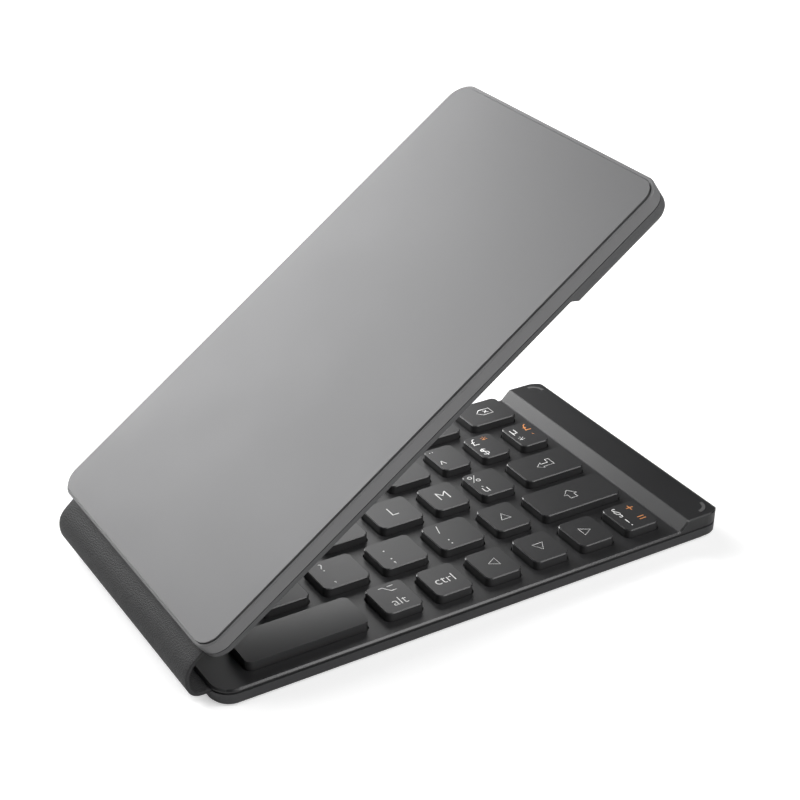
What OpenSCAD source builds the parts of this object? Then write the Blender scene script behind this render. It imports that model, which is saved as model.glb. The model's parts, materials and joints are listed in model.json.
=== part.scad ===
// Folding keyboard: two key halves joined by a leather spine, shown part way open.
// Each half is drawn flat, outer face at z = 0 and key side up, with its hinge edge at x = 0
// and its raised end bar at the far end. The lid is a deeper shell, mirrored and turned over.

/* [Halves] */
// Radius of the outer corners
corner_r = 6; // [4:0.5:8]
// Height of the base's key deck above its outer face
deck_height = 4.9; // [4.8:0.1:6]
// Extra height of the lid's case, below its keys
lid_extra = 1.6; // [0.8:0.1:3]
// Height that the base's end bar stands above the deck
bar_rise = 3.1; // [3:0.1:4]
// Height that the lid's end bar stands above the deck
lid_bar_rise = 2.5; // [2.5:0.1:4]
// Length of the base's end bar with its ramp
bar_length = 15.4; // [14.8:0.1:16]
// Length of the lid's end bar with its ramp, which holds the battery
lid_bar_length = 37; // [36:0.2:38]
// Rounding of the ramp's foot and shoulder
ramp_round = 1; // [0.7:0.1:1.1]
// Rounding of the edges of the base's end bar
bar_round = 0.7; // [0.5:0.1:1.2]
// Rounding of the edges of the lid's end bar
lid_bar_round = 1.9; // [0.5:0.1:2]
// Length that the base's rounded end adds
end_bulge = 1.5; // [1:0.1:1.6]
// Rounding of the base's end
end_round = 3; // [2:0.1:3.2]
// Length that the lid's rounded end adds
lid_end_bulge = 0.5; // [0.3:0.1:0.8]
// Rounding of the lid's end
lid_end_round = 1.2; // [0.8:0.1:1.4]
// Thickness of the side walls
wall = 0.9; // [0.7:0.05:1.2]
// Thickness of the deck plate
deck_plate = 0.9; // [0.8:0.05:1]
// Thickness of the bar's roof
bar_roof = 1; // [0.8:0.05:1.1]
// Height of the line where the base's deck meets its case
base_parting = 3.5; // [3.4:0.05:3.55]
// Height of the same line in the lid, counted as if its case had no extra height
lid_parting = 2.8; // [2.6:0.05:3.4]
// Height of the groove along that line in the base
groove_h = 0.65; // [0.3:0.05:0.65]
// Height of the groove along that line in the lid
lid_groove_h = 0.25; // [0.2:0.05:0.5]
// Depth of the groove
groove_d = 0.4; // [0.2:0.05:0.5]
// Thickness of the case floor
case_floor = 0.45; // [0.4:0.05:0.5]
// Thickness of the outer panel
panel_t = 0.75; // [0.65:0.05:0.8]
// Height that the outer panel stands proud of the case rim
panel_proud = 0.5; // [0.2:0.05:0.6]
// Width of the case rim around the outer panel
panel_rim = 0.5; // [0.5:0.05:0.7]
// Gap between the rim and the outer panel
panel_gap = 0.3; // [0.15:0.05:0.4]
// Bevel on the deck's upper edge
deck_bevel = 0.45; // [0.1:0.05:0.5]
// Bevel on the case's outer edge
case_bevel = 0.35; // [0.1:0.05:0.45]

/* [Keys] */
// Distance between the letter keys of a row
key_pitch = 19; // [18.6:0.1:19.2]
// Distance between the rows
row_pitch = 17.85; // [17.6:0.05:17.9]
// Gap between neighbouring caps
key_gap = 4.5; // [4:0.1:5.5]
// Depth of a cap
key_depth = 13; // [12:0.1:13.1]
// Distance from the front edge to the first row
front_margin = 4.95; // [4.5:0.05:5.1]
// Distance from the last row to the back edge
back_margin = 1.25; // [1:0.05:1.6]
// Distance from the hinge edge to the nearest cap
hinge_margin = 5.6; // [5.2:0.1:6.4]
// Distance from the last caps to the foot of the end bar
bar_margin = 3.2; // [3:0.1:4]
// Distance that a key travels
key_travel = 1.5; // [1.2:0.05:1.55]
// Height of a cap above the deck when it is pressed
key_show = 1.05; // [1:0.05:1.1]
// Radius of a cap's corners
cap_corner = 1.8; // [1.2:0.1:2.4]
// Bevel around a cap's top
cap_bevel = 0.25; // [0.1:0.05:0.5]
// Wall of a cap's skirt and of its top
cap_wall = 0.9; // [0.7:0.05:1.1]
// Depth that a cap's skirt reaches below the deck's top
skirt_below = 0.7; // [0.4:0.05:0.9]
// Gap between a cap and its opening in the deck
cap_clear = 0.35; // [0.25:0.05:0.45]
// Width of the narrow caps, such as the arrows
narrow_w = 11.6; // [11:0.1:12]
// Width of the slim caps beside the enter key
slim_w = 10; // [9.8:0.1:10.4]
// Width of the right shift cap
shift_w = 27.7; // [26:0.1:28]
// Width of the enter cap
enter_w = 20.8; // [20:0.1:22]
// Width of the backspace cap
backspace_w = 16.6; // [16:0.1:18]
// Width of each half of the space bar
space_w = 36.1; // [34:0.1:37]
// Gap between the space bar and the next cap
space_gap = 5.5; // [4.5:0.1:6]
// Height of the crown along the space bar
space_crown = 0.25; // [0.1:0.05:0.25]
// Width of the outer control cap of the left half
control_w = 15.9; // [15:0.1:17]
// Width of the left shift cap
left_shift_w = 33.4; // [27:0.1:34]
// Width of the caps lock cap
caps_lock_w = 24.2; // [22:0.1:24.4]
// Width of the tab cap
tab_w = 19.2; // [18:0.1:20]
// Width of the escape cap
escape_w = 22.6; // [21:0.1:23]

/* [Key mechanism] */
// Radius of the guide stem under a cap
stem_r = 2; // [1.6:0.05:2.1]
// Gap between the stem and its collar
stem_clear = 0.35; // [0.3:0.05:0.5]
// Wall of the collar
collar_wall = 0.75; // [0.5:0.05:0.8]
// Thickness of the guide plate
guide_t = 0.5; // [0.4:0.05:0.7]
// Thickness of the switch membrane
membrane_t = 0.3; // [0.2:0.05:0.4]
// Height of a rubber dome
dome_h = 1.75; // [1.6:0.05:1.8]
// Radius of a dome's foot
dome_r = 1.9; // [1.6:0.05:2]
// Radius of a dome's top
dome_top_r = 1.1; // [0.9:0.05:1.3]
// Wall of a dome
dome_wall = 0.3; // [0.2:0.05:0.4]
// Width from which a cap has two guide stems
two_stem_w = 20; // [18:0.5:24]
// Distance from a wide cap's end to its stem
stem_inset = 7; // [5.5:0.1:8]

/* [Spine] */
// Thickness of the leather
leather_t = 1.2; // [1:0.05:1.3]
// Distance from a half's hinge edge to its fold line
fold_gap = 5.15; // [4:0.05:6]
// Distance from the leather's ends to the front and back of the halves
leather_inset = 4.5; // [4:0.5:12]
// Length of leather clamped inside each half
clamp_depth = 1.7; // [1.2:0.1:2]
// Height of the outward curve of the leather between its fold lines
leather_bulge = 0.75; // [0.4:0.05:1.2]
// Gap between the spine's rolled edge and the hem
fold_clear = 0.3; // [0.2:0.05:0.5]
// Width of the flat cable that runs through the leather
cable_w = 14; // [8:0.5:20]
// Thickness of the flat cable
cable_t = 0.2; // [0.15:0.05:0.3]
// Gap between the cable and its channel, on each side
cable_clear = 0.075; // [0.05:0.025:0.1]
// Angle that the spine leans back from its place when closed
spine_angle = 1.8; // [0:0.1:90]
// Angle between the lid and the base
lid_angle = 36.5; // [1.8:0.1:91.8]

/* [End bar contents] */
// Width of the circuit board
board_w = 9; // [7:0.1:9.2]
// Length of the circuit board
board_l = 50; // [40:1:60]
// Thickness of the circuit board
board_t = 0.8; // [0.6:0.1:1]
// Height of the board's underside above the outer face
board_z = 2.9; // [2.6:0.05:3.1]
// Width of the charging socket
socket_w = 8.9; // [8.8:0.05:9.1]
// Height of the charging socket
socket_h = 3.2; // [3:0.05:3.3]
// Length of the charging socket
socket_l = 7; // [6:0.1:8]
// Gap between the socket and its opening in the end wall
socket_clear = 0.2; // [0.1:0.05:0.3]
// Width of the battery cell
cell_w = 26; // [20:1:27]
// Length of the battery cell
cell_l = 54; // [40:1:60]
// Thickness of the battery cell
cell_t = 5; // [3:0.1:5.2]
// Radius of a holding magnet
magnet_r = 2.4; // [1.5:0.1:2.5]
// Thickness of a holding magnet
magnet_t = 1.4; // [1:0.1:1.6]
// Distance from the end and the sides of a half to the magnets' centres
magnet_inset = 7.2; // [7:0.1:8]
// Height that the corner pads stand above the bar
pad_proud = 0.1; // [0.05:0.05:0.3]
// Depth of the corner pads below the bar's top
pad_sunk = 0.3; // [0.2:0.05:0.4]
// Distance from the bar's edge to the corner pads
pad_inset = 2; // [1.9:0.1:2.4]
// Width of a corner pad
pad_w = 1; // [0.6:0.1:1.4]

/* [Screws] */
// Radius of a screw's shank
screw_r = 0.7; // [0.5:0.05:0.8]
// Length of a screw below its head
screw_l = 2.2; // [1.6:0.1:2.3]
// Radius of a screw's head
head_r = 1.4; // [1.1:0.05:1.5]
// Height of a screw's head
head_h = 0.25; // [0.15:0.05:0.25]
// Wall of a screw boss
boss_wall = 0.85; // [0.6:0.05:1]
// Distances of the screws from the hinge edge
screw_x = [24, 70, 116];

/* [Hidden] */
curve_fn = 48;
small_fn = 24;
eps = 0.01;
rows = 5;
fit = 0.05;
round_steps = 4;
base = 0;
lid = 1;

// Size of one half, from the keys and the margins around them
half_length = hinge_margin + 5 * key_pitch + narrow_w + key_gap + shift_w + bar_margin + bar_length;
half_depth = front_margin + (rows - 1) * row_pitch + key_depth + back_margin;
full_length = [half_length + end_bulge, half_length + lid_end_bulge];
end_r = [end_round, lid_end_round];

// Heights of the layers of one half. The lid's outer face lies lower, by its extra height.
extra = [0, lid_extra];
groove = [groove_h, lid_groove_h];
parting = [base_parting, lid_parting];
floor_z = panel_t + fit;
inside_z = floor_z + case_floor;
guide_z = inside_z + membrane_t;
plate_z = deck_height - deck_plate;
collar_top = plate_z - 0.3;
bar_top = [deck_height + bar_rise, deck_height + lid_bar_rise];
mid_z = [bar_top[base] + pad_proud, bar_top[lid] + pad_proud];
cap_top = deck_height + key_show + key_travel;
cap_bottom = deck_height - skirt_below;
dome_z = inside_z + membrane_t;
stem_bottom = dome_z + dome_h + 0.1;

// Places along a half
edge_round = [bar_round, lid_bar_round];
ramp_extra = 2 * ramp_round * (sqrt(2) - 1);
bar_foot = [half_length - bar_length, half_length - lid_bar_length];
bar_start = [bar_foot[base] + bar_rise + ramp_extra, bar_foot[lid] + lid_bar_rise + ramp_extra];
row_end = [bar_foot[base] - bar_margin, bar_foot[lid] - bar_margin];
inner_edge = wall + clamp_depth;
tray_x0 = inner_edge + 0.6;
tray_x1 = [row_end[base] + 2, row_end[lid] + 2];
tray_margin = wall + 0.3;
rib_w = 0.8;
board_x = half_length - wall - 0.5 - board_w;
cell_x = half_length - wall - 4 - cell_w;
socket_x = full_length[base] - 1 - socket_l;
socket_z = board_z + board_t;
link_y = half_depth / 2 - cable_w / 2;

// Places of the fold lines, seen along the hinge, with the leather clamped at both parting lines
fold_height = mid_z[base] - parting[base] + mid_z[lid] - parting[lid];
closed_fold = [-fold_gap, 0, parting[base] + fold_height];
lid_fold = [
    -fold_gap - fold_height * sin(spine_angle), 0,
    parting[base] + fold_height * cos(spine_angle)
];
bulge_r = (fold_height * fold_height / 4 + leather_bulge * leather_bulge) / (2 * leather_bulge);
leather_l = half_depth - 2 * leather_inset;
hem_end = -(fold_gap - leather_t / 2 - fold_clear);

// A row is its count of letter caps, its count of middle caps and their width, and the width of
// its last cap. The letters come first, from the hinge, and the last cap ends beside the bar.
right_rows = [
    [0, 5, narrow_w, narrow_w],
    [5, 1, narrow_w, shift_w],
    [4, 2, narrow_w, enter_w],
    [5, 2, slim_w, slim_w],
    [6, 0, slim_w, backspace_w]
];
left_rows = [
    [3, 0, narrow_w, control_w],
    [4, 0, narrow_w, left_shift_w],
    [5, 0, narrow_w, caps_lock_w],
    [5, 0, narrow_w, tab_w],
    [5, 0, narrow_w, escape_w]
];
half_rows = [right_rows, left_rows];
letter_w = key_pitch - key_gap;

// The caps of a row of one half as [place, width], from the hinge to the bar
function row_cells(half, row) = let (spec = half_rows[half][row], end = row_end[half] - spec[3]) concat(
    [for (i = [0:1:spec[0] - 1]) [end - spec[1] * (spec[2] + key_gap) - (spec[0] - i) * key_pitch, letter_w]],
    [for (i = [0:1:spec[1] - 1]) [end - (spec[1] - i) * (spec[2] + key_gap), spec[2]]],
    [[end, spec[3]]]
);
function space_cell(half) = [row_cells(half, 0)[0][0] - space_gap - space_w, space_w];
function row_y(row) = front_margin + row * row_pitch;
function stems(cell) = cell[1] < two_stem_w
    ? [cell[0] + cell[1] / 2]
    : [cell[0] + stem_inset, cell[0] + cell[1] - stem_inset];
function half_cells(half) = [
    for (row = [0:rows - 1])
        for (cell = concat(row == 0 ? [space_cell(half)] : [], row_cells(half, row)))
            [cell[0], cell[1], row]
];

// Each key node of the right half as [name, row, places in the row]
RIGHT_KEYS = [
    ["key_alt", 0, [0]],
    ["key_ctrl", 0, [1]],
    ["key_arrow_left", 0, [2]],
    ["key_arrow_down", 0, [3]],
    ["key_arrow_right", 0, [4]],
    ["key_section", 0, [5]],
    ["key_b", 1, [0]],
    ["key_n", 1, [1]],
    ["key_comma", 1, [2]],
    ["key_period", 1, [3]],
    ["key_colon", 1, [4]],
    ["key_arrow_up", 1, [5]],
    ["key_shift", 1, [6]],
    ["keys_h_j", 2, [0, 1]],
    ["key_k", 2, [2]],
    ["key_l", 2, [3]],
    ["key_m", 2, [4]],
    ["key_percent", 2, [5]],
    ["key_enter", 2, [6]],
    ["keys_y_to_o", 3, [0, 1, 2, 3]],
    ["key_p", 3, [4]],
    ["key_circumflex", 3, [5]],
    ["key_pound", 3, [6]],
    ["key_star", 3, [7]],
    ["keys_numbers", 4, [0, 1, 2, 3, 4]],
    ["key_bracket", 4, [5]],
    ["key_backspace", 4, [6]]
];
LEFT_KEYS = [for (row = [0:rows - 1]) [str("lid_keys_row_", row + 1), row]];

panel_grey = "#a2a2a3";
case_grey = "#4c4c4e";
lid_grey = "#77777a";
deck_grey = "#3d3e40";
cap_grey = "#38393b";
leather_grey = "#505052";
rubber_black = "#1d1d1f";
film = "#c9c3a8";
plate_grey = "#6b6f73";
steel = "#b8bbbf";

// Frames of the moving halves
module base_place() {
    translate([-half_length / 2, -half_depth / 2, 0]) children();
}
module spine_place() {
    base_place() translate([-fold_gap, 0, parting[base]]) rotate([0, -spine_angle, 0]) children();
}
module lid_place() {
    base_place() translate(lid_fold) rotate([0, -lid_angle, 0]) translate(-closed_fold)
        translate([0, 0, mid_z[base] + mid_z[lid]]) mirror([0, 0, 1]) children();
}
module half_place(half) {
    if (half == base)
        base_place() children();
    else
        lid_place() children();
}

// A flat rectangle with round corners
module round_rect(w, d, r) {
    translate([r, 0]) square([w - 2 * r, d]);
    translate([0, r]) square([w, d - 2 * r]);
    for (x = [r, w - r])
        for (y = [r, d - r])
            translate([x, y]) circle(r, $fn = curve_fn);
}
// The edge of a plate as [inset, height]: a bevel at the foot, and a bevel or a rounding at the top
function edge_line(h, top, bottom, steps) = concat(
    [[bottom, 0], [0, bottom]],
    [for (i = [0:steps]) [top * (1 - cos(90 * i / steps)), h - top * (1 - sin(90 * i / steps))]]
);
function reversed(list) = [for (i = [len(list) - 1:-1:0]) list[i]];
// A plate with round corners and shaped edges
module edged_plate(w, d, h, r, top = 0, bottom = 0, steps = 1) {
    edge = edge_line(h, top, bottom, steps);
    for (x = [r, w - r])
        for (y = [r, d - r])
            translate([x, y, 0]) rotate_extrude($fn = curve_fn)
                polygon(concat([[0, 0]], [for (p = edge) [r - p[0], p[1]]], [[0, h]]));
    translate([r, 0, 0]) rotate([90, 0, 90]) linear_extrude(w - 2 * r) edged_section(d, edge);
    translate([0, d - r, 0]) rotate([90, 0, 0]) linear_extrude(d - 2 * r) edged_section(w, edge);
}
module edged_section(w, edge) {
    polygon(concat(edge, [for (p = reversed(edge)) [w - p[0], p[1]]]));
}
// A plate that is inset from the outline of a half
module inset_plate(inset, z0, z1) {
    translate([inset, inset, z0]) linear_extrude(z1 - z0)
        round_rect(half_length - 2 * inset, half_depth - 2 * inset, corner_r - inset);
}
// A bar along the hinge, drawn from its section in x and z
module along_hinge(y0, length) {
    translate([0, y0 + length, 0]) rotate([90, 0, 0]) linear_extrude(length) children();
}
// A cylinder with bevelled ends, lying along the hinge direction
module bevel_roller(r, length, bevel) {
    rotate([-90, 0, 0]) rotate_extrude($fn = 2 * curve_fn)
        polygon([
            [0, 0], [r - bevel, 0], [r, bevel], [r, length - bevel], [r - bevel, length], [0, length]
        ]);
}
// The shape that a flared cylinder leaves when it cuts a fillet with bevelled ends
module flared_roller(r, length, bevel) {
    rotate([-90, 0, 0]) rotate_extrude($fn = 2 * curve_fn)
        polygon([
            [0, 0], [r + bevel, 0], [r, bevel], [r, length - bevel], [r + bevel, length], [0, length]
        ]);
}

// What bounds the far end of a half: a block whose end is rounded above and below
module end_limit(half) {
    r = end_r[half];
    low = -extra[half];
    along_hinge(-1, half_depth + 2) {
        translate([-1, low - 1]) square([full_length[half] - r + 1, bar_top[half] - low + 2]);
        translate([0, low + r]) square([full_length[half], bar_top[half] - low - 2 * r]);
        for (z = [low + r, bar_top[half] - r])
            translate([full_length[half] - r, z]) circle(r, $fn = 2 * curve_fn);
    }
}

module screw_places() {
    for (x = screw_x)
        for (row = [0, rows - 2])
            translate([x, row_y(row) + (key_depth + row_pitch) / 2, 0]) children();
}
module stem_places(half) {
    for (cell = half_cells(half))
        for (x = stems(cell))
            translate([x, row_y(cell[2]) + key_depth / 2, 0]) children();
}
module magnet_places() {
    for (y = [magnet_inset, half_depth - magnet_inset])
        translate([half_length - magnet_inset, y, 0]) children();
}

// The outer panel, a little proud of the case rim
module panel(half) {
    color(panel_grey) half_place(half)
        inset_plate(panel_rim + panel_gap, -extra[half], panel_t - extra[half]);
}
// The case: rim, floor and walls, with the slot for the leather
module case_shell(half) {
    rim_z = panel_proud - extra[half];
    clamp_z = parting[half] - leather_t / 2;
    difference() {
        union() {
            difference() {
                intersection() {
                    translate([0, 0, rim_z])
                        edged_plate(full_length[half], half_depth, parting[half] - rim_z, corner_r, 0, case_bevel);
                    end_limit(half);
                }
                inset_plate(wall, inside_z - extra[half], parting[half] + eps);
            }
            translate([wall - eps, leather_inset, inside_z - extra[half] - eps])
                cube([clamp_depth + eps, leather_l, clamp_z - inside_z + extra[half] + eps]);
        }
        inset_plate(panel_rim, -eps - extra[half], floor_z - extra[half]);
        translate([-eps, leather_inset, clamp_z]) cube([inner_edge + 2 * eps, leather_l, leather_t]);
        translate([inner_edge - 0.4, link_y - cable_clear, inside_z])
            cube([0.4 + eps, cable_w + 2 * cable_clear, parting[half]]);
    }
}
// The base's case has posts under the circuit board
module base_case() {
    color(case_grey) base_place() {
        case_shell(base);
        for (y = [-board_l / 3, board_l / 3])
            translate([board_x + board_w / 2, half_depth / 2 + y, inside_z - eps])
                cylinder(h = board_z - inside_z + eps, r = 1.5, $fn = small_fn);
    }
}
// The lid's deeper case has ribs that carry the membrane under every row and every screw
module lid_case() {
    color(lid_grey) lid_place() {
        case_shell(lid);
        for (row = [0:rows - 1])
            translate([tray_x0, row_y(row) + key_depth / 2 - rib_w / 2, inside_z - lid_extra - eps])
                cube([tray_x1[lid] - tray_x0, rib_w, lid_extra + eps]);
        for (x = screw_x)
            translate([x - rib_w / 2, tray_margin, inside_z - lid_extra - eps])
                cube([rib_w, half_depth - 2 * tray_margin, lid_extra + eps]);
    }
}

// The deck's outside: a bevelled plate with a ramp up to the end bar
module deck_outside(half) {
    rim_z = parting[half] + groove[half];
    translate([groove_d, groove_d, parting[half]]) linear_extrude(groove[half] + eps)
        round_rect(full_length[half] - 2 * groove_d, half_depth - 2 * groove_d, corner_r - groove_d);
    intersection() {
        union() {
            translate([0, 0, rim_z])
                edged_plate(full_length[half], half_depth, deck_height - rim_z, corner_r, deck_bevel);
            translate([bar_start[half], 0, rim_z])
                cube([full_length[half] - bar_start[half], half_depth, bar_top[half] - rim_z]);
            translate([bar_start[half], 0, bar_top[half] - ramp_round])
                bevel_roller(ramp_round, half_depth, deck_bevel);
            ramp(half, rim_z);
        }
        translate([0, 0, rim_z]) edged_plate(
            full_length[half], half_depth, bar_top[half] - rim_z, corner_r, edge_round[half], 0, round_steps
        );
        end_limit(half);
    }
}
// The ramp's flank rises at 45 degrees between its rounded foot and the shoulder
module ramp(half, rim_z) {
    side = ramp_round * sin(45);
    low = [bar_foot[half] + side, deck_height + ramp_round - side];
    high = [bar_start[half] - side, bar_top[half] - ramp_round + side];
    depth = ramp_round + bar_rise - 0.8;
    translate([low[0], 0, low[1]]) rotate([0, -45, 0]) translate([-eps, 0, -depth])
        rotate([90, 0, 90]) linear_extrude(norm(high - low) + eps)
            edged_section(half_depth, edge_line(depth, deck_bevel, 0, 1));
    difference() {
        along_hinge(0, half_depth) polygon([
            [bar_foot[half], rim_z], [low[0] + low[1] - rim_z, rim_z], low, [bar_foot[half], low[1]]
        ]);
        translate([bar_foot[half], 0, deck_height + ramp_round])
            flared_roller(ramp_round, half_depth, deck_bevel);
    }
}
// The deck: outside less the hollow below the plate and in the bar, and the cap openings
module deck_shell(half) {
    roof_z = bar_top[half] - bar_roof;
    difference() {
        union() {
            difference() {
                deck_outside(half);
                inset_plate(wall, parting[half] - eps, plate_z);
                intersection() {
                    inset_plate(wall + edge_round[half] / 2, plate_z - eps, roof_z);
                    translate([bar_start[half], 0, plate_z - 2 * eps])
                        cube([lid_bar_length, half_depth, bar_top[half]]);
                }
            }
            screw_places() translate([0, 0, guide_z + guide_t])
                cylinder(h = plate_z - guide_z - guide_t + eps, r = screw_r + boss_wall, $fn = small_fn);
            translate([wall - eps, leather_inset, parting[half] + leather_t / 2])
                cube([clamp_depth + eps, leather_l, plate_z + 0.2 - parting[half] - leather_t / 2]);
            magnet_places() translate([0, 0, roof_z - magnet_t])
                cylinder(h = magnet_t + eps, r = magnet_r + fit + 0.6, $fn = small_fn);
        }
        translate([-eps, leather_inset, parting[half] - leather_t])
            cube([inner_edge + 2 * eps, leather_l, 1.5 * leather_t]);
        for (cell = half_cells(half))
            translate([cell[0] - cap_clear, row_y(cell[2]) - cap_clear, parting[half]])
                linear_extrude(deck_height)
                    round_rect(cell[1] + 2 * cap_clear, key_depth + 2 * cap_clear, cap_corner + cap_clear);
        screw_places() translate([0, 0, guide_z])
            cylinder(h = screw_l + 0.2, r = screw_r + fit, $fn = small_fn);
        magnet_places() translate([0, 0, roof_z - magnet_t - eps])
            cylinder(h = magnet_t + eps, r = magnet_r + fit, $fn = small_fn);
        corner_arcs(fit, bar_top[half] - pad_sunk, bar_top[half] + eps);
    }
}
module base_deck() {
    color(deck_grey) base_place() difference() {
        deck_shell(base);
        translate([half_length - 3 * wall, half_depth / 2, socket_z + socket_h / 2])
            socket_outline(3 * wall + end_bulge + eps, socket_clear);
    }
}
module lid_deck() {
    color(deck_grey) lid_place() deck_shell(lid);
}

// The pads in the bar's two corners, each a quarter ring that follows the corner
module corner_arcs(grow, z0, z1) {
    outer = corner_r - pad_inset + grow;
    inner = corner_r - pad_inset - pad_w - grow;
    for (corner = [[half_depth - corner_r, 0], [corner_r, -90]])
        translate([half_length - corner_r, corner[0], z0]) rotate([0, 0, corner[1]])
            linear_extrude(z1 - z0) intersection() {
                difference() {
                    circle(outer, $fn = curve_fn);
                    circle(inner, $fn = curve_fn);
                }
                square(outer);
            }
}
module corner_pads(half) {
    color(rubber_black) half_place(half)
        corner_arcs(0, bar_top[half] - pad_sunk, mid_z[half]);
}

// The switch membrane, with a tail that rises into the leather and a tab to the end bar
module membrane(half) {
    riser_x = inner_edge + 0.2;
    color(film) half_place(half) {
        difference() {
            translate([tray_x0, tray_margin, inside_z])
                cube([tray_x1[half] - tray_x0, half_depth - 2 * tray_margin, membrane_t]);
            screw_places() translate([0, 0, inside_z - eps])
                cylinder(h = membrane_t + 2 * eps, r = head_r + 0.3, $fn = small_fn);
        }
        translate([riser_x, link_y, inside_z]) cube([tray_x0 - riser_x + eps, cable_w, membrane_t]);
        translate([riser_x, link_y, inside_z]) cube([cable_t, cable_w, parting[half] - inside_z]);
        translate([hem_end, link_y, parting[half] - cable_t / 2])
            cube([riser_x + cable_t - hem_end, cable_w, cable_t]);
        translate([tray_x1[half] - eps, half_depth / 2 - board_l / 4, inside_z])
            cube([half == base ? board_x + 1 - tray_x1[half] : 5, 10, membrane_t]);
    }
}
// The guide plate, with a collar around each stem
module guide_plate(half) {
    color(plate_grey) half_place(half) difference() {
        union() {
            translate([tray_x0, tray_margin, guide_z])
                cube([tray_x1[half] - tray_x0, half_depth - 2 * tray_margin, guide_t]);
            stem_places(half) translate([0, 0, guide_z])
                cylinder(h = collar_top - guide_z, r = stem_r + stem_clear + collar_wall, $fn = small_fn);
        }
        stem_places(half) translate([0, 0, guide_z - eps])
            cylinder(h = collar_top, r = stem_r + stem_clear, $fn = small_fn);
        screw_places() translate([0, 0, guide_z - eps])
            cylinder(h = guide_t + 2 * eps, r = screw_r + fit, $fn = small_fn);
    }
}
module domes(half) {
    color(rubber_black) half_place(half) stem_places(half) translate([0, 0, dome_z])
        rotate_extrude($fn = small_fn) polygon([
            [dome_r - dome_wall, 0], [dome_r, 0], [dome_top_r, dome_h], [0, dome_h],
            [0, dome_h - dome_wall], [dome_top_r - dome_wall / 2, dome_h - dome_wall]
        ]);
}
module screws(half) {
    color(steel) half_place(half) screw_places() {
        translate([0, 0, guide_z - head_h]) cylinder(h = head_h, r = head_r, $fn = small_fn);
        translate([0, 0, guide_z - eps]) cylinder(h = screw_l + eps, r = screw_r, $fn = small_fn);
    }
}
module magnets(half) {
    color(steel) half_place(half) magnet_places() translate([0, 0, bar_top[half] - bar_roof - magnet_t])
        cylinder(h = magnet_t, r = magnet_r, $fn = small_fn);
}

// A keycap over a cell: bevelled shell with its guide stems
module cap(cell, row, crown = 0) {
    bevel = crown > 0 ? 0 : cap_bevel;
    translate([cell[0], row_y(row), cap_bottom]) difference() {
        intersection() {
            edged_plate(cell[1], key_depth, cap_top + crown - cap_bottom, cap_corner, bevel);
            if (crown > 0)
                crown_roller(cell[1], cap_top - cap_bottom, crown);
        }
        translate([cap_wall, cap_wall, -eps]) linear_extrude(cap_top - cap_bottom - cap_wall + eps)
            round_rect(cell[1] - 2 * cap_wall, key_depth - 2 * cap_wall, cap_corner - cap_wall);
    }
    for (x = stems(cell))
        translate([x, row_y(row) + key_depth / 2, stem_bottom])
            cylinder(h = cap_top - cap_wall - stem_bottom + eps, r = stem_r, $fn = small_fn);
}
// The space bar's crown is part of a wide cylinder, with its edges at the height of the other caps
module crown_roller(w, h, crown) {
    r = (key_depth * key_depth / 4 + crown * crown) / (2 * crown);
    translate([-eps, key_depth / 2, h + crown - r]) rotate([0, 90, 0])
        cylinder(h = w + 2 * eps, r = r, $fn = 8 * curve_fn);
}
module right_key(key) {
    color(cap_grey) base_place()
        for (i = key[2])
            cap(row_cells(base, key[1])[i], key[1]);
}
module left_key(key) {
    color(cap_grey) lid_place()
        for (cell = row_cells(lid, key[1]))
            cap(cell, key[1]);
}
module space_key(half) {
    color(cap_grey) half_place(half) cap(space_cell(half), 0, space_crown);
}

// The circuit board with its radio module, processor and cable connector
module circuit_board() {
    color("#2c5a3c") base_place() {
        translate([board_x, half_depth / 2 - board_l / 2, board_z]) cube([board_w, board_l, board_t]);
        translate([board_x + 0.8, half_depth / 2 + 8, board_z + board_t - eps]) cube([7, 11, 1.6 + eps]);
        translate([board_x + 1.8, half_depth / 2 - 14, board_z + board_t - eps]) cube([5, 5, 0.9 + eps]);
        translate([board_x + 0.5, half_depth / 2 - 22, board_z + board_t - eps]) cube([2.4, 6, 1.1 + eps]);
    }
}
// A flat oval, the mouth of the charging socket, standing along x
module socket_outline(length, grow) {
    h = socket_h + 2 * grow;
    w = socket_w + 2 * grow;
    rotate([90, 0, 90]) linear_extrude(length) {
        for (y = [-1, 1])
            translate([y * (w - h) / 2, 0]) circle(h / 2, $fn = curve_fn);
        translate([-(w - h) / 2, -h / 2]) square([w - h, h]);
    }
}
module charging_socket() {
    sheet = 0.3;
    color(steel) base_place() translate([socket_x, half_depth / 2, socket_z + socket_h / 2]) {
        difference() {
            socket_outline(socket_l, 0);
            translate([1, 0, 0]) socket_outline(socket_l, -sheet);
        }
        translate([1 - eps, -2.9, -0.35]) cube([socket_l - 1.6, 5.8, 0.7]);
    }
}
module battery() {
    color(steel) lid_place()
        translate([cell_x, (half_depth - cell_l) / 2, inside_z - lid_extra + 0.1])
            edged_plate(cell_w, cell_l, cell_t, 1, 0.4, 0.4);
}

// Leather between a half and its fold line, with a channel for the flat cable
module hem(half) {
    color(leather_grey) half_place(half) difference() {
        translate([hem_end, leather_inset, parting[half] - leather_t / 2])
            cube([inner_edge - hem_end, leather_l, leather_t]);
        translate([hem_end - eps, link_y - cable_clear, parting[half] - cable_t / 2 - cable_clear])
            cube([inner_edge - hem_end + 2 * eps, cable_w + 2 * cable_clear, cable_t + 2 * cable_clear]);
    }
}
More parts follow.
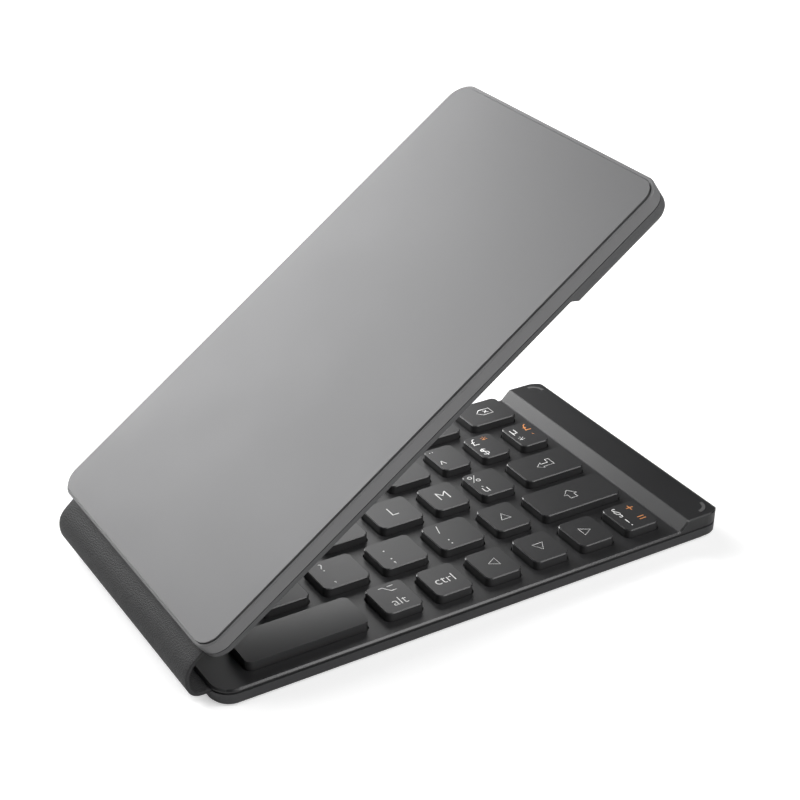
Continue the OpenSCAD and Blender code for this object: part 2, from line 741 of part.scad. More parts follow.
// The bulged section between the fold lines, of a given thickness
module bulge_section(t) {
    centre = [bulge_r - leather_bulge, fold_height / 2];
    intersection() {
        translate(centre) difference() {
            circle(bulge_r + t / 2, $fn = 4 * curve_fn);
            circle(bulge_r - t / 2, $fn = 4 * curve_fn);
        }
        polygon([
            centre, centre + 1.5 * ([0, fold_height] - centre), [-2 * bulge_r, fold_height / 2], -0.5 * centre
        ]);
    }
}
module spine_leather() {
    color(leather_grey) spine_place() difference() {
        along_hinge(leather_inset, leather_l) {
            bulge_section(leather_t);
            circle(leather_t / 2, $fn = small_fn);
            translate([0, fold_height]) circle(leather_t / 2, $fn = small_fn);
        }
        along_hinge(link_y - cable_clear, cable_w + 2 * cable_clear)
            bulge_section(cable_t + 2 * cable_clear);
    }
}
module link_cable() {
    color("#b06a2c") spine_place() along_hinge(link_y, cable_w) bulge_section(cable_t);
}

panel(base);  // base_panel
base_case();
base_deck();
guide_plate(base);  // base_guide_plate
membrane(base);  // base_membrane
domes(base);  // base_domes
screws(base);  // base_screws
magnets(base);  // base_magnets
corner_pads(base);  // base_corner_pads
circuit_board();
charging_socket();
hem(base);  // base_hem
spine_leather();
link_cable();
panel(lid);  // lid_panel
lid_case();
lid_deck();
guide_plate(lid);  // lid_guide_plate
membrane(lid);  // lid_membrane
domes(lid);  // lid_domes
screws(lid);  // lid_screws
magnets(lid);  // lid_magnets
corner_pads(lid);  // lid_corner_pads
battery();
hem(lid);  // lid_hem
space_key(base);  // key_space
space_key(lid);  // lid_key_space
for (key = RIGHT_KEYS)
    right_key(key);
for (key = LEFT_KEYS)
    left_key(key);
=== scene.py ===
# %% [markdown]
# # A folding pocket keyboard
# Two thin halves open and close like a book on one strip of leather. The solid parts come from the
# imported CAD model and never move here. This notebook gives them their finishes, prints the key
# legends, and replaces the three stiff lengths of leather, and the stiff flat cable inside them, by
# strips drawn round both folds.

# %% Load the imported model
import math

import bpy
from mathutils import Matrix, Vector
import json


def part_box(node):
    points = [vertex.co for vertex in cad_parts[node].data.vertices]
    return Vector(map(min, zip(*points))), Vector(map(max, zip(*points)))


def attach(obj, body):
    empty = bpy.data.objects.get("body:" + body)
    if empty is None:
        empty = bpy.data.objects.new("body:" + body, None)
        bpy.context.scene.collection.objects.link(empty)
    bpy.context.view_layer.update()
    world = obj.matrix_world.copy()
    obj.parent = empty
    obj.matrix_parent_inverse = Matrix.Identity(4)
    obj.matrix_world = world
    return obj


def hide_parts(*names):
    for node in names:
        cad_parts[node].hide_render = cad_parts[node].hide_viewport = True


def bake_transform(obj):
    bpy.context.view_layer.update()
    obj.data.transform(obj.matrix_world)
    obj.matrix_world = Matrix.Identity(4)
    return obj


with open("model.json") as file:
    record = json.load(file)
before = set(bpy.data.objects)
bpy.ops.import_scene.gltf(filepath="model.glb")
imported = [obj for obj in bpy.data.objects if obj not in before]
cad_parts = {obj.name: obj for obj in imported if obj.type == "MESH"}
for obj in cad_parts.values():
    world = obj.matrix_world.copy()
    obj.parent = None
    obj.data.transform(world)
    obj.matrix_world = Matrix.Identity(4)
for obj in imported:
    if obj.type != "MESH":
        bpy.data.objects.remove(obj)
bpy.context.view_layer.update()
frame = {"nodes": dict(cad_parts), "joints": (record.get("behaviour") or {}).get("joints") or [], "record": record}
nodes = frame["nodes"]
MM = 0.001
print("solid parts:", len(nodes))

# %% [markdown]
# ## Where the halves stand
# A few places are needed again and again: the size of a half, the two fold lines and the direction
# in which the lid rises. The fold lines are read from the record's joints and not typed, so they stay
# true to the solid model. The lid stands part way open, as a book does that is laid down half read.

# %% Places and directions
HALF_LENGTH = 163 * MM
HALF_DEPTH = 90.6 * MM
LID_ANGLE = math.radians(36.5)

joints = {joint["name"]: joint for joint in frame["joints"]}
base_fold = Vector(joints["spine_fold"]["pos_m"])
lid_fold = Vector(joints["lid_fold"]["pos_m"])
along_lid = Vector((math.cos(LID_ANGLE), 0, math.sin(LID_ANGLE)))
above_lid = Vector((-math.sin(LID_ANGLE), 0, math.cos(LID_ANGLE)))
print("fold lines at", base_fold, lid_fold)

# %% [markdown]
# ## The camera
# The picture is taken from the front left, well above the desk, with a long lens. A camera could be
# dragged into place by eye. Here it is put back along the line of sight from the point it looks at,
# and then turned a little about that line, so each number is one thing a photographer would change.

# %% Camera
CAMERA_AIM = Vector((42.04, 67.86, 0.53)) * MM
CAMERA_DISTANCE = 571.45 * MM
CAMERA_AZIMUTH = math.radians(-32.705)
CAMERA_ELEVATION = math.radians(28.99)
CAMERA_ROLL = math.radians(1.656)
CAMERA_LENS = 77.70
NEAREST_SEEN = 0.01

toward_camera = Vector((
    math.sin(CAMERA_AZIMUTH) * math.cos(CAMERA_ELEVATION),
    -math.cos(CAMERA_AZIMUTH) * math.cos(CAMERA_ELEVATION),
    math.sin(CAMERA_ELEVATION),
))
level_right = (-toward_camera).cross(Vector((0, 0, 1))).normalized()
level_up = level_right.cross(-toward_camera)
picture_right = math.cos(CAMERA_ROLL) * level_right + math.sin(CAMERA_ROLL) * level_up
picture_up = math.cos(CAMERA_ROLL) * level_up - math.sin(CAMERA_ROLL) * level_right
turn = Matrix((picture_right, picture_up, toward_camera)).transposed().to_4x4()

bpy.ops.object.camera_add()
camera = bpy.context.object
camera.matrix_world = Matrix.Translation(CAMERA_AIM + toward_camera * CAMERA_DISTANCE) @ turn
camera.data.lens = CAMERA_LENS
camera.data.clip_start = NEAREST_SEEN
bpy.context.scene.camera = camera
print("camera at", camera.location)

# %% [markdown]
# ## Shared surface effects
# Nearly every surface here is a fine moulded or sprayed texture, only coarser or finer. Each material
# could have its own noise nodes, but then a better grain would have to be made again in each one. So
# it is built once as a node group. A few helpers keep the node code short.

# %% Helpers for nodes


def feed(tree, socket, value):
    """Set a socket to a plain number, or link another socket to it."""
    if isinstance(value, (int, float)):
        socket.default_value = value
    else:
        tree.links.new(value, socket)


def arithmetic(tree, operation, *values):
    """One Math node, fed by sockets or by plain numbers."""
    node = tree.nodes.new("ShaderNodeMath")
    node.operation = operation
    for socket, value in zip(node.inputs, values):
        feed(tree, socket, value)
    return node.outputs[0]


def noise(tree, scale, detail, coordinates):
    """A noise texture on the piece's own coordinates."""
    node = tree.nodes.new("ShaderNodeTexNoise")
    feed(tree, node.inputs["Scale"], scale)
    feed(tree, node.inputs["Detail"], detail)
    tree.links.new(coordinates, node.inputs["Vector"])
    return node.outputs["Fac"]


def new_group(name, inputs, outputs):
    """An empty node group with named sockets, each input as (name, kind, value)."""
    group = bpy.data.node_groups.new(name, "ShaderNodeTree")
    for label, kind, value in inputs:
        socket = group.interface.new_socket(label, in_out="INPUT", socket_type=kind)
        socket.default_value = value
    for label, kind in outputs:
        group.interface.new_socket(label, in_out="OUTPUT", socket_type=kind)
    return group, group.nodes.new("NodeGroupInput"), group.nodes.new("NodeGroupOutput")


print("helpers:", feed.__name__, arithmetic.__name__, noise.__name__, new_group.__name__)

# %% [markdown]
# ## Polished bevels
# Fingers and sleeves polish the narrow bevels of caps and rims, so on the real keyboard they show as
# thin bright lines. The bevels could be picked face by face. It is simpler to let the material look
# at which way a face points: a bevel lies halfway between a top and a side.

# %% Mask for the bevels
HALFWAY = 0.707
HALFWAY_REACH = 0.12
LEAST_UPWARD = 0.35


def bevel_faces(tree, side_edges):
    """1 on the narrow bevels and 0 elsewhere. Bevels at the left and right count by side_edges."""
    facing = tree.nodes.new("ShaderNodeSeparateXYZ")
    tree.links.new(tree.nodes.new("ShaderNodeTexCoord").outputs["Normal"], facing.inputs[0])
    x, y, z = (arithmetic(tree, "ABSOLUTE", facing.outputs[axis]) for axis in "XYZ")
    front = arithmetic(tree, "COMPARE", y, HALFWAY, HALFWAY_REACH)
    side = arithmetic(tree, "COMPARE", x, HALFWAY, HALFWAY_REACH)
    side = arithmetic(tree, "MULTIPLY", side, side_edges)
    upward = arithmetic(tree, "GREATER_THAN", z, LEAST_UPWARD)
    return arithmetic(tree, "MULTIPLY", arithmetic(tree, "MAXIMUM", front, side), upward)


print("bevel mask:", bevel_faces.__name__)

# %% [markdown]
# ## The grain itself
# The group takes a colour and hands back the same colour with a faint mottle, an uneven roughness,
# and a height for the bump. Two noises make it: a fine one for the grain and a large, soft one for
# the cloudiness that every sprayed surface has.

# %% Fine grain, as a group of nodes
GRAIN_DETAIL = 3
CLOUD_SCALE = 45
UNEVEN_ROUGHNESS = 0.08


def fine_grain_group():
    """Mottled colour, uneven roughness and a fine height."""
    group, start, end = new_group(
        "fine_grain",
        [
            ("Color", "NodeSocketColor", (0.1, 0.1, 0.1, 1)),
            ("Mottle", "NodeSocketFloat", 0.1),
            ("Roughness", "NodeSocketFloat", 0.5),
            ("Edge Roughness", "NodeSocketFloat", 0.5),
            ("Side Edges", "NodeSocketFloat", 0.0),
            ("Grain Scale", "NodeSocketFloat", 3000.0),
        ],
        [("Color", "NodeSocketColor"), ("Roughness", "NodeSocketFloat"), ("Height", "NodeSocketFloat")],
    )
    place = group.nodes.new("ShaderNodeTexCoord").outputs["Object"]
    grain = noise(group, start.outputs["Grain Scale"], GRAIN_DETAIL, place)
    cloud = noise(group, CLOUD_SCALE, GRAIN_DETAIL, place)
    swing = arithmetic(group, "MULTIPLY_ADD", cloud, 2, -1)
    swing = arithmetic(group, "MULTIPLY_ADD", swing, start.outputs["Mottle"], 1)
    speck = arithmetic(group, "MULTIPLY_ADD", grain, 2, -1)
    speck = arithmetic(group, "MULTIPLY", speck, start.outputs["Mottle"])
    tinted = group.nodes.new("ShaderNodeVectorMath")
    tinted.operation = "SCALE"
    group.links.new(start.outputs["Color"], tinted.inputs[0])
    group.links.new(arithmetic(group, "ADD", swing, speck), tinted.inputs["Scale"])
    group.links.new(tinted.outputs[0], end.inputs["Color"])
    uneven = arithmetic(group, "MULTIPLY_ADD", cloud, UNEVEN_ROUGHNESS, -UNEVEN_ROUGHNESS / 2)
    rough = arithmetic(group, "ADD", uneven, start.outputs["Roughness"])
    polish = arithmetic(group, "SUBTRACT", start.outputs["Edge Roughness"], rough)
    edges = bevel_faces(group, start.outputs["Side Edges"])
    group.links.new(arithmetic(group, "MULTIPLY_ADD", edges, polish, rough), end.inputs["Roughness"])
    group.links.new(grain, end.inputs["Height"])
    return group


fine_grain = fine_grain_group()
print("effect built:", fine_grain.name)

# %% [markdown]
# ## A finish from a few numbers
# Each finish is one Principled shader with the grain group in front of it. Writing every material out
# in full would hide what sets them apart, so a function takes only the numbers that differ: the
# colour, the roughness and how coarse the grain is.

# %% Finish maker


def finish(name, color, roughness, metallic=0.0, mottle=0.06, grain=3000, depth=0.004, edge=None, sides=0):
    """A material with the fine grain. The depth is in millimetres, and edge is the bevels' roughness."""
    material = bpy.data.materials.new(name)
    material.use_nodes = True
    tree = material.node_tree
    shader = tree.nodes["Principled BSDF"]
    group = tree.nodes.new("ShaderNodeGroup")
    group.node_tree = fine_grain
    group.inputs["Color"].default_value = (*color, 1)
    group.inputs["Mottle"].default_value = mottle
    group.inputs["Roughness"].default_value = roughness
    group.inputs["Grain Scale"].default_value = grain
    group.inputs["Edge Roughness"].default_value = edge or roughness
    group.inputs["Side Edges"].default_value = sides
    bump = tree.nodes.new("ShaderNodeBump")
    bump.inputs["Distance"].default_value = depth * MM
    bump.inputs["Strength"].default_value = 1.0
    tree.links.new(group.outputs["Color"], shader.inputs["Base Color"])
    tree.links.new(group.outputs["Roughness"], shader.inputs["Roughness"])
    tree.links.new(group.outputs["Height"], bump.inputs["Height"])
    tree.links.new(bump.outputs["Normal"], shader.inputs["Normal"])
    shader.inputs["Metallic"].default_value = metallic
    return material


print("finish maker:", finish.__name__)

# %% [markdown]
# ## The finishes
# Outside, the keyboard is grey sprayed metal over dark plastic. Inside there are films,
# rubber, steel and a green board. The table is kept by the slot names of the record, so that the solid
# parts can be dressed by it. The lid's case and deck get paler copies of the base's plastics, so each has
# a line of its own: the extra paleness is painted light, for the brighter light on the lid's walls.

# %% Finishes
FINISHES = {
    "panel": finish(
        "panel_metal", (0.118, 0.118, 0.120), 0.48, metallic=0.45, mottle=0.01, grain=5000, depth=0.001
    ),
    "base_case": finish("base_case_plastic", (0.038, 0.038, 0.040), 0.45, mottle=0.05),
    # A paler copy of the base's case plastic: the extra paleness is painted light on the lid's walls.
    "lid_case": finish("lid_case_plastic_painted_light", (0.150, 0.150, 0.152), 0.45, mottle=0.04),
    "deck": finish(
        "deck_plastic", (0.0225, 0.0225, 0.0235), 0.42, mottle=0.12, grain=2600, depth=0.010, edge=0.14
    ),
    # A paler copy of the deck plastic: the extra paleness is painted light on the lid's walls.
    "lid_deck": finish("lid_deck_plastic_painted_light", (0.066, 0.066, 0.068), 0.5, mottle=0.1, grain=2600, depth=0.01),
    "keycap": finish("cap_plastic", (0.033, 0.033, 0.034), 0.4, grain=3400, depth=0.005, edge=0.27, sides=1),
    "rubber": finish("black_rubber", (0.02, 0.02, 0.021), 0.8, mottle=0.2, depth=0.02),
    "pad": finish("pad_rubber", (0.1, 0.1, 0.1), 0.6, mottle=0.08, depth=0.008),
    "guide_plate": finish("guide_plastic", (0.15, 0.16, 0.17), 0.5),
    "membrane": finish("membrane_film", (0.58, 0.55, 0.40), 0.25, mottle=0.1, grain=900),
    "steel": finish("plain_steel", (0.5, 0.5, 0.52), 0.3, metallic=1.0, mottle=0.05),
    "magnet": finish("magnet_nickel", (0.6, 0.6, 0.62), 0.2, metallic=1.0, mottle=0.03),
    "board": finish("board_green", (0.03, 0.12, 0.05), 0.3, mottle=0.2, grain=1200),
    "cable": finish("cable_film", (0.45, 0.17, 0.03), 0.3, mottle=0.1),
    "cell": finish("cell_foil", (0.55, 0.56, 0.58), 0.35, metallic=0.9, mottle=0.1, grain=1500),
}
legend_white = finish("legend_white", (0.9, 0.9, 0.89), 0.6, mottle=0.02)
legend_orange = finish("legend_orange", (0.85, 0.33, 0.10), 0.6, mottle=0.02)
print("finishes:", len(FINISHES), "and two printing inks")

# %% [markdown]
# ## Grained leather
# The strip looks like leather with a fine pebble grain. A noise alone looks like stone. The edges
# between Voronoi cells give the little valleys round each pebble, and a slower noise under them gives
# the soft creases that come from folding.

# %% Leather finish
PEBBLE_SCALE = 1500
PEBBLE_STEEPNESS = 4
CREASE_SCALE = 260
CREASE_DETAIL = 4
CREASE_SHARE = 1.6
GRAIN_SHARE = 0.3
LEATHER_RELIEF = 0.06
LEATHER_SHINE = 0.3


def leather_finish():
    """Small pebbles from cell edges, over softer creases."""
    material = finish("grained_leather", (0.029, 0.029, 0.030), 0.6, mottle=0.3, grain=1800)
    tree = material.node_tree
    bump = next(node for node in tree.nodes if node.type == "BUMP")
    group = next(node for node in tree.nodes if node.type == "GROUP")
    place = tree.nodes.new("ShaderNodeTexCoord").outputs["Object"]
    pebbles = tree.nodes.new("ShaderNodeTexVoronoi")
    pebbles.feature = "DISTANCE_TO_EDGE"
    pebbles.inputs["Scale"].default_value = PEBBLE_SCALE
    tree.links.new(place, pebbles.inputs["Vector"])
    creases = noise(tree, CREASE_SCALE, CREASE_DETAIL, place)
    height = arithmetic(tree, "MULTIPLY", pebbles.outputs["Distance"], PEBBLE_STEEPNESS)
    height = arithmetic(tree, "MINIMUM", height, 1)
    height = arithmetic(tree, "MULTIPLY_ADD", creases, CREASE_SHARE, height)
    height = arithmetic(tree, "MULTIPLY_ADD", group.outputs["Height"], GRAIN_SHARE, height)
    tree.links.new(height, bump.inputs["Height"])
    bump.inputs["Distance"].default_value = LEATHER_RELIEF * MM
    tree.nodes["Principled BSDF"].inputs["Specular IOR Level"].default_value = LEATHER_SHINE
    return material


FINISHES["leather"] = leather_finish()
print("leather:", FINISHES["leather"].name)

# %% [markdown]
# ## Dress the solid parts
# The record already says which finish each part has, as a material slot. So every solid takes the
# finish of its own name, if there is one, or else that of its slot, and a new part in the model would
# be dressed without a new line here.

# %% Give each solid its finish
for subpart in frame["record"]["subparts"]:
    solid = nodes[subpart["node"]]
    solid.data.materials.clear()
    solid.data.materials.append(FINISHES.get(subpart["node"]) or FINISHES[subpart["material_slot"]])

# %% [markdown]
# ## The leather strip
# The real strip is one piece of leather, clamped between case and deck in both halves. Opened part
# way it stands as a round loop behind the halves. It could be a cloth simulation, but it is so short
# that it always takes the same curve. So it is drawn as a line along its middle, in millimetres from
# the hinge edge and from the desk. Each half of the loop bends over one fold, and the two halves meet
# on the straight bit between the folds. The flat cable that joins the halves runs inside the leather,
# along the same line.

# %% Line through the middle of the leather
LOOP_BELOW = [
    (1.6, 3.5), (0.2, 3.5), (-1.0, 3.5), (-2.2, 3.5), (-3.3, 3.66), (-4.3, 4.1),
    (-5.05, 4.84), (-5.55, 5.8), (-5.86, 6.85), (-6.02, 7.8), (-6.05, 8.35), (-6.05, 8.75),
]
LOOP_ABOVE = [
    (-6.05, 8.75), (-6.05, 9.15), (-6.0, 9.8), (-5.82, 10.7), (-5.45, 11.6), (-4.85, 12.55),
    (-4.05, 13.45), (-3.1, 14.35), (-2.2, 15.15), (-1.3, 15.86), (-0.34, 16.57), (0.15, 16.93),
]
LEATHER = {"thickness": 1.2, "length": 81.6, "rows": 34, "rounding": 0.35}
CABLE = {"thickness": 0.2, "length": 14, "rows": 6, "rounding": 0.0}


def smooth_line(points, steps=4):
    """A Catmull-Rom curve through the points, which starts and ends straight."""
    ends = [points[0]] + points + [points[-1]]
    line = []
    for first, a, b, last in zip(ends, ends[1:], ends[2:], ends[3:]):
        for step in range(steps):
            t = step / steps
            line.append([
                0.5 * (2 * p1 + (p2 - p0) * t + (2 * p0 - 5 * p1 + 4 * p2 - p3) * t * t
                       + (3 * p1 - p0 - 3 * p2 + p3) * t * t * t)
                for p0, p1, p2, p3 in zip(first, a, b, last)
            ])
    return line + [list(points[-1])]


print("points on the line:", len(smooth_line(LOOP_BELOW)), "and", len(smooth_line(LOOP_ABOVE)))

# %% [markdown]
# ## Cut edges
# A cut edge of leather is never sharp, because it is burnished round. A bevel on all edges would also
# round the two ends where the pieces of the strip meet, and open a seam there. So only the corners
# along the front and back edges get a bevel weight.

# %% Round the cut edges
CUT_EDGE_SEGMENTS = 3
SAME_PLACE = 0.01
LESS_THAN_THICKNESS = 0.9


def select_none():
    """Operators work on all that is selected, so each job starts from nothing."""
    bpy.ops.object.select_all(action="DESELECT")


def soften_long_edges(piece, shape):
    """Round the strip's front and back edges, but not the ends where it meets the next piece."""
    mesh = piece.data
    weights = mesh.attributes.new("bevel_weight_edge", "FLOAT", "EDGE")
    for edge in mesh.edges:
        a, b = (mesh.vertices[corner].co for corner in edge.vertices)
        outermost = min(abs(a.y), abs(b.y)) > (shape["length"] / 2 - SAME_PLACE) * MM
        if outermost and (a - b).length < LESS_THAN_THICKNESS * shape["thickness"] * MM:
            weights.data[edge.index].value = 1.0
    rounding = piece.modifiers.new("rounding", "BEVEL")
    rounding.limit_method = "WEIGHT"
    rounding.width = shape["rounding"] * MM
    rounding.segments = CUT_EDGE_SEGMENTS
    bpy.ops.object.modifier_apply(modifier=rounding.name)


print("edge rounding:", LEATHER["rounding"], "mm")

# %% [markdown]
# ## From line to strip
# A strip is a line pulled across and then made thick. That is how it is modelled: a plane shrunk to
# one point, extruded along the line, extruded again in rows across the keyboard, and given its
# thickness by a modifier.

# %% Strip maker
SMOOTH_BELOW = math.radians(35)


def strip_mesh(name, points, shape):
    """One length of a strip: a line pulled across and made thick."""
    half = shape["length"] * MM / 2
    line = [Vector((x * MM - HALF_LENGTH / 2, -half, z * MM)) for x, z in smooth_line(points)]
    select_none()
    bpy.ops.mesh.primitive_plane_add(size=MM, location=line[0])
    piece = bpy.context.object
    piece.name = name
    bpy.ops.object.transform_apply(location=True)
    bpy.ops.object.mode_set(mode="EDIT")
    bpy.ops.mesh.merge(type="CENTER")
    for a, b in zip(line, line[1:]):
        bpy.ops.mesh.extrude_region_move(TRANSFORM_OT_translate={"value": b - a})
    bpy.ops.mesh.select_all(action="SELECT")
    across = {"value": (0, 2 * half / shape["rows"], 0)}
    for _ in range(shape["rows"]):
        bpy.ops.mesh.extrude_region_move(TRANSFORM_OT_translate=across)
    bpy.ops.mesh.select_all(action="SELECT")
    bpy.ops.mesh.normals_make_consistent(inside=False)
    bpy.ops.object.mode_set(mode="OBJECT")
    thick = piece.modifiers.new("thickness", "SOLIDIFY")
    thick.thickness = shape["thickness"] * MM
    thick.offset = 0
    bpy.ops.object.modifier_apply(modifier=thick.name)
    if shape["rounding"]:
        soften_long_edges(piece, shape)
    bpy.ops.object.shade_smooth_by_angle(angle=SMOOTH_BELOW)
    return piece


print("strip maker:", strip_mesh.__name__)

# %% [markdown]
# ## The strips over the folds
# Each length of strip runs from one body at its start to the next one at its end, over the fold
# between them. Its bend zone stops close to the fold on the side of the half, because the leather is
# clamped there over the tail of the switch film, and that tail is stiff.

# %% Make the strips


def bend_zone(fold, toward, before, after):
    """Where the strip starts and stops bending, in millimetres before and after the fold line."""
    return fold - toward.normalized() * before * MM, fold + toward.normalized() * after * MM


ZONE_BELOW = bend_zone(base_fold, Vector((-1, 0, 1)), before=0.5, after=4.4)
ZONE_ABOVE = bend_zone(lid_fold, along_lid + Vector((0, 0, 1)), before=3.9, after=0.9)
LENGTHS = [
    ("below", LOOP_BELOW, ("base", "spine"), ZONE_BELOW, "base_hem"),
    ("above", LOOP_ABOVE, ("spine", "lid"), ZONE_ABOVE, "lid_hem"),
]
for side, points, bodies, zone, hem in LENGTHS:
    strips = [("leather", LEATHER, [hem, "spine_leather"]), ("cable", CABLE, ["link_cable"])]
    for slot, shape, stands_for in strips:
        strip = strip_mesh(slot + "_" + side, points, shape)
        strip.data.materials.append(FINISHES[slot])
        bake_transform(strip)
        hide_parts(*stands_for)
        print("strip:", strip.name)

# %% [markdown]
# ## Key legends
# The legends are thin printed shapes on top of the caps. They could be an image, but then they would
# blur close up and couldn't move with a key. The signs are short strokes along a line, as on the real
# caps, where every line has the same thin width. Each sign is a list of lines in millimetres from the
# middle of the cap, and each line says whether it is closed.

# %% Signs drawn with strokes
STROKE = 0.4
SIGN_SCALE = 1.2
TRIANGLE = [(-1.4, -1.2), (1.4, -1.2), (0, 1.3)]
HOUSE = [(-1.9, 0.1), (0, 1.9), (1.9, 0.1), (0.95, 0.1), (0.95, -1.5), (-0.95, -1.5), (-0.95, 0.1)]
LOW_HOUSE = [(-1.7, -0.1), (0, 1.6), (1.7, -0.1), (0.8, -0.1), (0.8, -1.0), (-0.8, -1.0), (-0.8, -0.1)]
BENT_ARROW = [
    (-2.4, -0.3), (-0.9, 0.9), (-0.9, 0.3), (1.2, 0.3), (1.2, 1.7),
    (2.3, 1.7), (2.3, -0.9), (-0.9, -0.9), (-0.9, -1.5),
]
POINTED_BOX = [(-2.3, 0), (-1.0, 1.25), (2.1, 1.25), (2.1, -1.25), (-1.0, -1.25)]
SIGNS = {
    "up": [(TRIANGLE, True)],
    "down": [([(x, -y) for x, y in TRIANGLE], True)],
    "left": [([(-y, x) for x, y in TRIANGLE], True)],
    "right": [([(y, x) for x, y in TRIANGLE], True)],
    "shift": [(HOUSE, True)],
    "caps": [(LOW_HOUSE, True), ([(-0.8, -1.7), (0.8, -1.7)], False)],
    "enter": [(BENT_ARROW, True)],
    "tab": [
        ([(-2.2, 0), (1.5, 0)], False),
        ([(0.5, 1.0), (1.5, 0), (0.5, -1.0)], False),
        ([(2.1, 1.2), (2.1, -1.2)], False),
    ],
    "backspace": [
        (POINTED_BOX, True),
        ([(-0.2, 0.6), (1.0, -0.6)], False),
        ([(-0.2, -0.6), (1.0, 0.6)], False),
    ],
    "branch": [
        ([(-1.9, 0.9), (-0.9, 0.9), (0.5, -0.9), (1.9, -0.9)], False),
        ([(0.3, 0.9), (1.9, 0.9)], False),
    ],
}
print("signs:", len(SIGNS))

# %% Stroke maker
PRINT_THICKNESS = 0.03 * MM


def stroke_mesh(name, lines, spot, material):
    """The lines of one sign as flat printed strokes round a spot, in millimetres on the cap."""
    curve = bpy.data.curves.new(name, "CURVE")
    curve.dimensions = "3D"
    curve.bevel_depth = STROKE / 2 * MM
    curve.bevel_resolution = 0
    curve.use_fill_caps = True
    for points, closed in lines:
        spline = curve.splines.new("POLY")
        spline.points.add(len(points) - 1)
        spline.use_cyclic_u = closed
        for point, (x, y) in zip(spline.points, points):
            point.co = ((x * SIGN_SCALE + spot[0]) * MM, (y * SIGN_SCALE + spot[1]) * MM, 0, 1)
    drawing = bpy.data.objects.new(name, curve)
    bpy.context.scene.collection.objects.link(drawing)
    select_none()
    drawing.select_set(True)
    bpy.context.view_layer.objects.active = drawing
    bpy.ops.object.convert(target="MESH")
    mesh = bpy.context.object.data
    for vertex in mesh.vertices:
        vertex.co.z = math.copysign(PRINT_THICKNESS / 2, vertex.co.z)
    mesh.materials.append(material)
    return bpy.context.object


print("print thickness:", PRINT_THICKNESS / MM, "mm")

# %% [markdown]
# ## Letters
# Letters are text objects turned into meshes. Blender's own font draws its strokes in a fixed share
# of the letter's size, and the real print has one stroke width for all sizes. So each text is made
# thinner by half of the difference on either side.

# %% Letter maker
FONT_STROKE = 0.09
TEXT_STROKE = 0.34
CURVE_STEPS = 4


def text_mesh(words, spot, size, material):
    """Letters centred on a spot, in millimetres on the cap."""
    select_none()
    bpy.ops.object.text_add()
    shape = bpy.context.object
    shape.data.body = words
    shape.data.size = size * MM
    shape.data.align_x = "CENTER"
    shape.data.align_y = "CENTER"
    shape.data.extrude = PRINT_THICKNESS / 2
    shape.data.offset = (TEXT_STROKE - FONT_STROKE * size) / 2 * MM
    shape.data.resolution_u = CURVE_STEPS
    shape.location = (spot[0] * MM, spot[1] * MM, 0)
    bpy.ops.object.convert(target="MESH")
    bpy.ops.object.transform_apply(location=True)
    bpy.context.object.data.materials.append(material)
    return bpy.context.object


print("letter stroke:", TEXT_STROKE, "mm")

# %% [markdown]
# ## What stands on the caps
# A legend is a list of marks: the word or the name of a sign, where it stands on the cap, its size,
# and whether it is printed in orange. Most caps carry one mark in the middle or a pair in a column at
# the left, and a few have a second column in orange. Small functions name these layouts, so the table
# of the keys reads like the keyboard.

# %% Layouts of marks
LETTER_SIZE = 5.9
WORD_SIZE = 4.8
SMALL_SIZE = 5.3
UPPER_LINE = 3.1
LOWER_LINE = -2.9
LEFT_COLUMN = -3.0
FULLER_LEFT_COLUMN = -2.6
ORANGE_COLUMN = 2.4
ORANGE_LOWER_LINE = -2.6


def letter(word):
    return [(word, (0, 0), LETTER_SIZE, False)]


def word_of(letters):
    return [(letters, (0, -0.2), WORD_SIZE, False)]


def pair(upper, lower, column=LEFT_COLUMN):
    return [
        (upper, (column, UPPER_LINE), SMALL_SIZE, False),
        (lower, (column, LOWER_LINE), SMALL_SIZE, False),
    ]


def orange(upper, lower):
    return [
        (upper, (ORANGE_COLUMN, UPPER_LINE), SMALL_SIZE, True),
        (lower, (ORANGE_COLUMN, ORANGE_LOWER_LINE), SMALL_SIZE, True),
    ]


def sign(name):
    return [(name, (0, 0), 0, False)]


print("letter sizes:", LETTER_SIZE, WORD_SIZE, SMALL_SIZE)

# %% Legends of the right half
BASE_LEGENDS = {
    "key_alt": [[("branch", (0.2, 3.6), 0, False), ("alt", (0.2, -2.5), WORD_SIZE, False)]],
    "key_ctrl": [word_of("ctrl")],
    "key_arrow_left": [sign("left")],
    "key_arrow_down": [sign("down")],
    "key_arrow_right": [sign("right")],
    "key_arrow_up": [sign("up")],
    "key_section": [pair("§", "!", FULLER_LEFT_COLUMN) + orange("+", "=")],
    "key_b": [letter("B")],
    "key_n": [letter("N")],
    "key_comma": [pair("?", ",")],
    "key_period": [pair(".", ";")],
    "key_colon": [pair("/", ":")],
    "key_shift": [sign("shift")],
    "keys_h_j": [letter(word) for word in "HJ"],
    "key_k": [letter("K")],
    "key_l": [letter("L")],
    "key_m": [letter("M")],
    "key_percent": [pair("%", "ù")],
    "key_enter": [sign("enter")],
    "keys_y_to_o": [letter(word) for word in "YUIO"],
    "key_p": [letter("P")],
    "key_circumflex": [pair("¨", "^")],
    "key_pound": [pair("£", "$", FULLER_LEFT_COLUMN) + [("*", (1.6, 2.9), SMALL_SIZE, True)]],
    "key_star": [pair("µ", "*", FULLER_LEFT_COLUMN) + orange("£", "`")],
    "keys_numbers": [pair(digit, mark) for digit, mark in zip("67890", "-è_çà")],
    "key_bracket": [pair("°", ")")],
    "key_backspace": [sign("backspace")],
}
print("key bodies with print:", len(BASE_LEGENDS))

# %% [markdown]
# ## Print the legends
# All the marks on one key body are joined to one piece that moves with it, because a print can't
# leave its cap. The marks are drawn flat at the origin and then carried to the cap's top, turned so
# that they read the right way up for someone at the keys.

# %% Print on one key body


